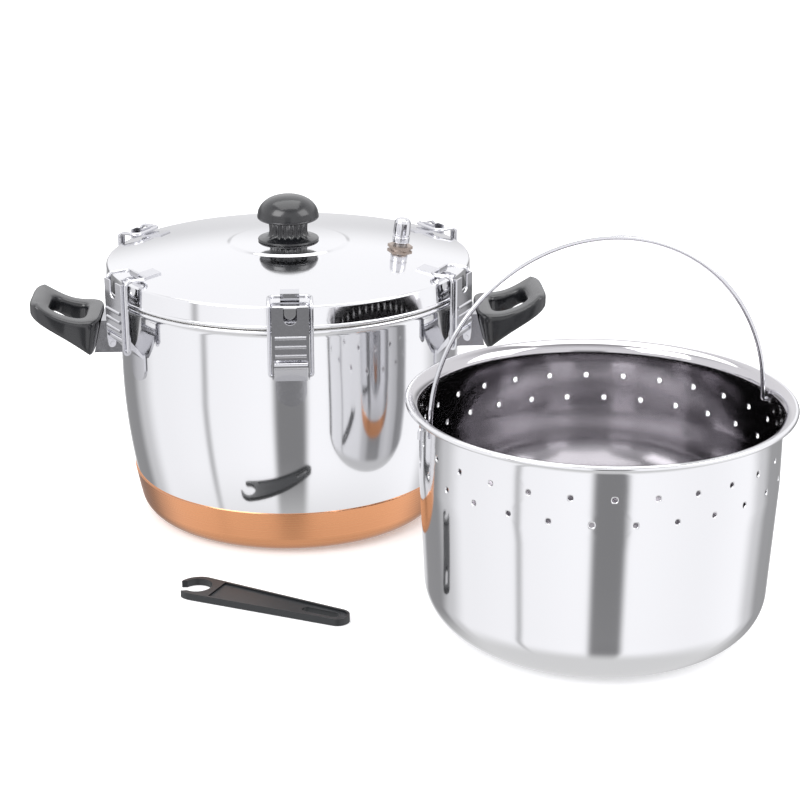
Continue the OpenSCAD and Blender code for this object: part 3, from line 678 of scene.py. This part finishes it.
class CANNER_OT_basket(Step):
    """Perforated basket and its wire bail"""
    bl_idname = "canner.basket"
    bl_label = "Basket"

    def build(self):
        s = sizes("basket")
        lo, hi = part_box("basket")
        centre = ((lo.x + hi.x) / 2 / MM, (lo.y + hi.y) / 2 / MM)
        field, faces, rows, tall, turns = hole_field(s)
        flare_z = s.top - s.sheet - s.flare
        bottom, top = rows[1] - tall / 2, rows[0] + tall / 2
        low_part = basket_side(s, 0)
        straight = self.run(low_part[-2], low_part[-1], 10)
        low_part = np.concatenate([low_part[:-1], straight, [[s.wall, bottom]]])
        rim = np.concatenate([[[s.wall, top]], arc(s.wall + s.flare, flare_z, s.flare, 180, 96, 18)])
        edge = s.rim - s.roll
        rim = np.concatenate([rim, [[edge - 0.6, s.top - s.sheet]]])
        phase = s.phase / s.holes * 2 * np.pi - np.pi / 2 - np.pi * 0.5 / s.holes
        a = phase + np.arange(turns) / turns * 2 * np.pi
        sheets = [self.turn(low_part, a), self.turn(rim, a)]
        points, all_faces, count = [field], [faces], len(field)
        for grid in sheets:
            nu, nv = grid.shape[:2]
            i, j = np.meshgrid(np.arange(nu), np.arange(nv - 1), indexing="ij")
            quad = [i * nv + j, ((i + 1) % nu) * nv + j, ((i + 1) % nu) * nv + j + 1, i * nv + j + 1]
            all_faces.append(np.stack(quad, -1).reshape(-1, 4) + count)
            points.append(grid.reshape(-1, 3))
            count += nu * nv
        points = np.concatenate(points) + [*centre, 0]
        body = mesh("basket_wall", points, np.concatenate(all_faces), 40)
        if self.faces_inwards(body, centre):
            body.data.flip_normals()
        body.data.materials.append(MATS["basket"])
        # The second material goes on the inner face. It is a darker steel: painted shade
        body.data.materials.append(MATS["inside"])
        thick = body.modifiers.new("thickness", "SOLIDIFY")
        thick.thickness = s.sheet * MM
        thick.offset = -1
        thick.material_offset = 1
        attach(body, "basket")
        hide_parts("basket")
        ring = arc(edge, s.top - s.roll, s.roll, 0, 360, 24)[:-1]
        roll = revolve("basket_roll", ring, centre)
        finish(roll, "basket")
        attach(roll, "basket")
        self.bail(s, centre)

    def run(self, p, q, n):
        """Points between two, so that the long wall has even faces."""
        t = np.linspace(0, 1, n + 1)[1:, None]
        return p * (1 - t) + q * t

    def turn(self, profile, a):
        """A profile turned about the axis at the given angles."""
        r, z = profile[None, :, 0], profile[None, :, 1]
        return np.stack([r * np.cos(a)[:, None], r * np.sin(a)[:, None], z + 0 * a[:, None]], -1)

    def faces_inwards(self, obj, centre):
        """Whether the wall's first upright face looks at the axis."""
        for face in obj.data.polygons:
            out = face.center.x / MM - centre[0], face.center.y / MM - centre[1]
            if abs(face.normal.z) < 0.3:
                return face.normal.x * out[0] + face.normal.y * out[1] < 0

    def bail(self, s, centre):
        """The wire: half a circle over the basket, down inside the wall, out through it and down again."""
        joint = JOINTS["basket_bail_turn"]
        axis = np.array(joint["axis"])
        z = joint["pos_m"][2] / MM
        wire = s.wire / 2
        foot = z + s.wire_leg
        r = high("basket_bail", 2) - foot - wire
        hook = r + s.wire_gap + wire + s.sheet + s.hook
        leg = np.array([[r, foot], [r, z], [hook, z], [hook, z - s.hook_drop]])
        end = bent(leg, [s.wire_bend] * 2)
        a = np.radians(np.linspace(0, 180, 97))
        arch = np.stack([r * np.cos(a), foot + r * np.sin(a)], -1)
        path = np.concatenate([end[::-1], arch[1:-1], end * [-1, 1]])
        flat = np.array(centre) + path[:, :1] * axis[:2]
        piece = tube("basket_handle_wire", np.concatenate([flat, path[:, 1:]], 1), wire, 24)
        place(piece, "clamp", "clamp_steel", "basket_handle", "basket_bail")


class CANNER_OT_clamps(Step):
    """Bails of the six clamps, and the finish of their levers, straps, pins and keepers"""
    bl_idname = "canner.clamps"
    bl_label = "Clamps"

    def build(self):
        s = sizes("clamp")
        wire, half = s.wire / 2, s.width / 2
        for i in CLAMPS:
            pivot = JOINTS[f"bail_{i}_turn"]["pos_m"]
            x, z = math.hypot(*pivot[:2]) / MM, pivot[2] / MM
            top = high(f"clamp_bail_{i}", 2) - wire
            side = np.array([(x, s.end, z), (x, half, z), (x, half, top), (x - s.reach, half, top)])
            corners = np.concatenate([side, side[::-1] * [1, -1, 1]])
            path = bent(corners, [s.foot, s.bend, s.bend, s.bend, s.bend, s.foot])
            piece = tube(f"bail_wire_{i}", at_clamp(path, i), wire)
            place(piece, "clamp", "clamp_steel", f"bail_{i}", f"clamp_bail_{i}")
            for kind in ("lever", "strap"):
                finish(frame["nodes"][f"clamp_{kind}_{i}"], "clamp")
            finish(frame["nodes"][f"lid_keeper_{i}"], "clamp")
            finish(frame["nodes"][f"clamp_pin_{i}"], "zinc")


class CANNER_OT_handles(Step):
    """Phenolic grips and their brackets"""
    bl_idname = "canner.handles"
    bl_label = "Handles"

    def build(self):
        for side, turn in (("right", 1), ("left", -1)):
            grip = self.grip(f"grip_{side}", turn)
            place(grip, "phenolic", "bakelite", "root", f"handle_grip_{side}")
            finish(frame["nodes"][f"handle_bracket_{side}"], "bracket")
            finish(frame["nodes"][f"handle_screw_{side}"], "zinc")

    def grip(self, name, turn):
        """A D-loop. At each angle about the finger hole a rounded section spans from the hole's outline to
        the grip's outline, both superellipses, and from the underside to the top, which sweeps up to the
        tip."""
        s = sizes("grip")
        root, tip = low("handle_grip_right", 0), high("handle_grip_right", 0)
        foot, peak = low("handle_grip_right", 2), high("handle_grip_right", 2)
        middle, reach = (root + tip) / 2, tip - root
        a = np.linspace(0, 2 * np.pi, 144, endpoint=False)[:, None]
        b = np.linspace(0, 2 * np.pi, 40, endpoint=False)[None, :]
        hole = self.outline(a, s.hole_length / 2, s.hole_width / 2, 5)
        edge = self.outline(a, reach / 2, s.width / 2, 4.5)
        across = (hole + edge) / 2 + (edge - hole) / 2 * self.rounded(np.cos(b))
        x, y = middle + across * np.cos(a), across * np.sin(a)
        root_share = np.clip((middle - x) / (middle - root), 0, 1)
        y = y * (1 + 0.1 * root_share)
        top = peak - s.rise + s.rise * np.clip((x - root - 12.5) / (reach - 18.5), 0, 1) ** 2
        under = foot + s.lift * np.clip((x - root - s.slant) / (reach - 8), 0, 1)
        height = (top + under) / 2 + (top - under) / 2 * self.rounded(np.sin(b))
        x = x + s.slant * root_share ** 3 * np.clip((top - height) / s.depth, 0, 1)
        return surface(name, np.stack([turn * x, turn * y, height], -1), angle=60)

    def outline(self, a, long, wide, n):
        """Radius of a superellipse at angle a: its half sizes and its power, which squares its corners."""
        return (np.abs(np.cos(a) / long) ** n + np.abs(np.sin(a) / wide) ** n) ** (-1 / n)

    def rounded(self, v):
        """A cosine or sine pushed towards 1, so that the section is a rounded square."""
        return np.sign(v) * np.abs(v) ** 0.42


class CANNER_OT_vent(Step):
    """Vent weight, nut and pipe, and the other fittings of the lid"""
    bl_idname = "canner.vent"
    bl_label = "Vent"

    def build(self):
        axis = np.array(JOINTS["weight_lift"]["axis"])
        lo, hi = (np.array(v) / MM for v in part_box("vent_weight"))
        s = sizes("lid")
        r, tall = s.weight / 2, s.weight_height
        neck = r - 0.5
        foot = (lo + hi) / 2 - axis * tall / 2
        steps = [(0, 0), (5.0, 0), (r, 0.8), (r, 4.5), (neck, 4.9), (neck, 5.9), (r, 6.3), (5.5, 14.2),
                 (4.8, 16.2), (3.4, tall), (0, tall)]
        path = np.array([(p, 0.0, q) for p, q in steps])
        path = bent(path, [0.4, 0.5, 0.3, 0.2, 0.2, 0.3, 0.8, 0.8, 0.5], 5)
        piece = revolve("weight", path[:, [0, 2]], turns=96, angle=50)
        points = np.array([v.co for v in piece.data.vertices]) / MM
        side = np.cross(axis, [0, 1, 0])
        side /= np.linalg.norm(side)
        other = np.cross(axis, side)
        spun = foot + points[:, :1] * side + points[:, 1:2] * other + points[:, 2:] * axis
        piece.data.vertices.foreach_set("co", (spun * MM).astype(np.float32).ravel())
        place(piece, "clamp", "clamp_steel", "weight", "vent_weight")
        for node, mat in (("vent_pipe", "zinc"), ("vent_seat", "bronze"), ("vent_nut", "zinc"),
                          ("knob_screw", "zinc"), ("knob_washer", "zinc"), ("lid_seal", "silicone")):
            finish(frame["nodes"][node], mat)


class CANNER_OT_key(Step):
    """Finish of the opening key"""
    bl_idname = "canner.key"
    bl_label = "Key"

    def build(self):
        finish(frame["nodes"]["opening_key"], "nylon")


STEPS = (CANNER_OT_stage, CANNER_OT_materials, CANNER_OT_pot, CANNER_OT_lid, CANNER_OT_basket,
         CANNER_OT_clamps, CANNER_OT_handles, CANNER_OT_vent, CANNER_OT_key)
GROUPS = {"pot": PotSizes, "lid": LidSizes, "basket": BasketSizes, "clamp": ClampSizes, "grip": GripSizes,
          "finishes": Finishes}


class CANNER_PT_panel(bpy.types.Panel):
    """Sizes, colours and steps of the canner"""
    bl_label = "Canner"
    bl_space_type = "VIEW_3D"
    bl_region_type = "UI"
    bl_category = "Canner"

    def draw(self, context):
        for name, group in GROUPS.items():
            box = self.layout.box()
            for key in group.__annotations__:
                box.prop(getattr(context.scene, "canner_" + name), key)
        for step in STEPS:
            self.layout.operator(step.bl_idname)


def register():
    for cls in (*GROUPS.values(), *STEPS, CANNER_PT_panel):
        bpy.utils.register_class(cls)
    for name, group in GROUPS.items():
        setattr(bpy.types.Scene, "canner_" + name, PointerProperty(type=group))


def unregister():
    for name in GROUPS:
        delattr(bpy.types.Scene, "canner_" + name)
    for cls in (CANNER_PT_panel, *reversed(STEPS), *reversed(GROUPS.values())):
        bpy.utils.unregister_class(cls)


def main():
    register()
    for step in STEPS:
        group, name = step.bl_idname.split(".")
        getattr(getattr(bpy.ops, group), name)()


if __name__ == "__main__":
    main()
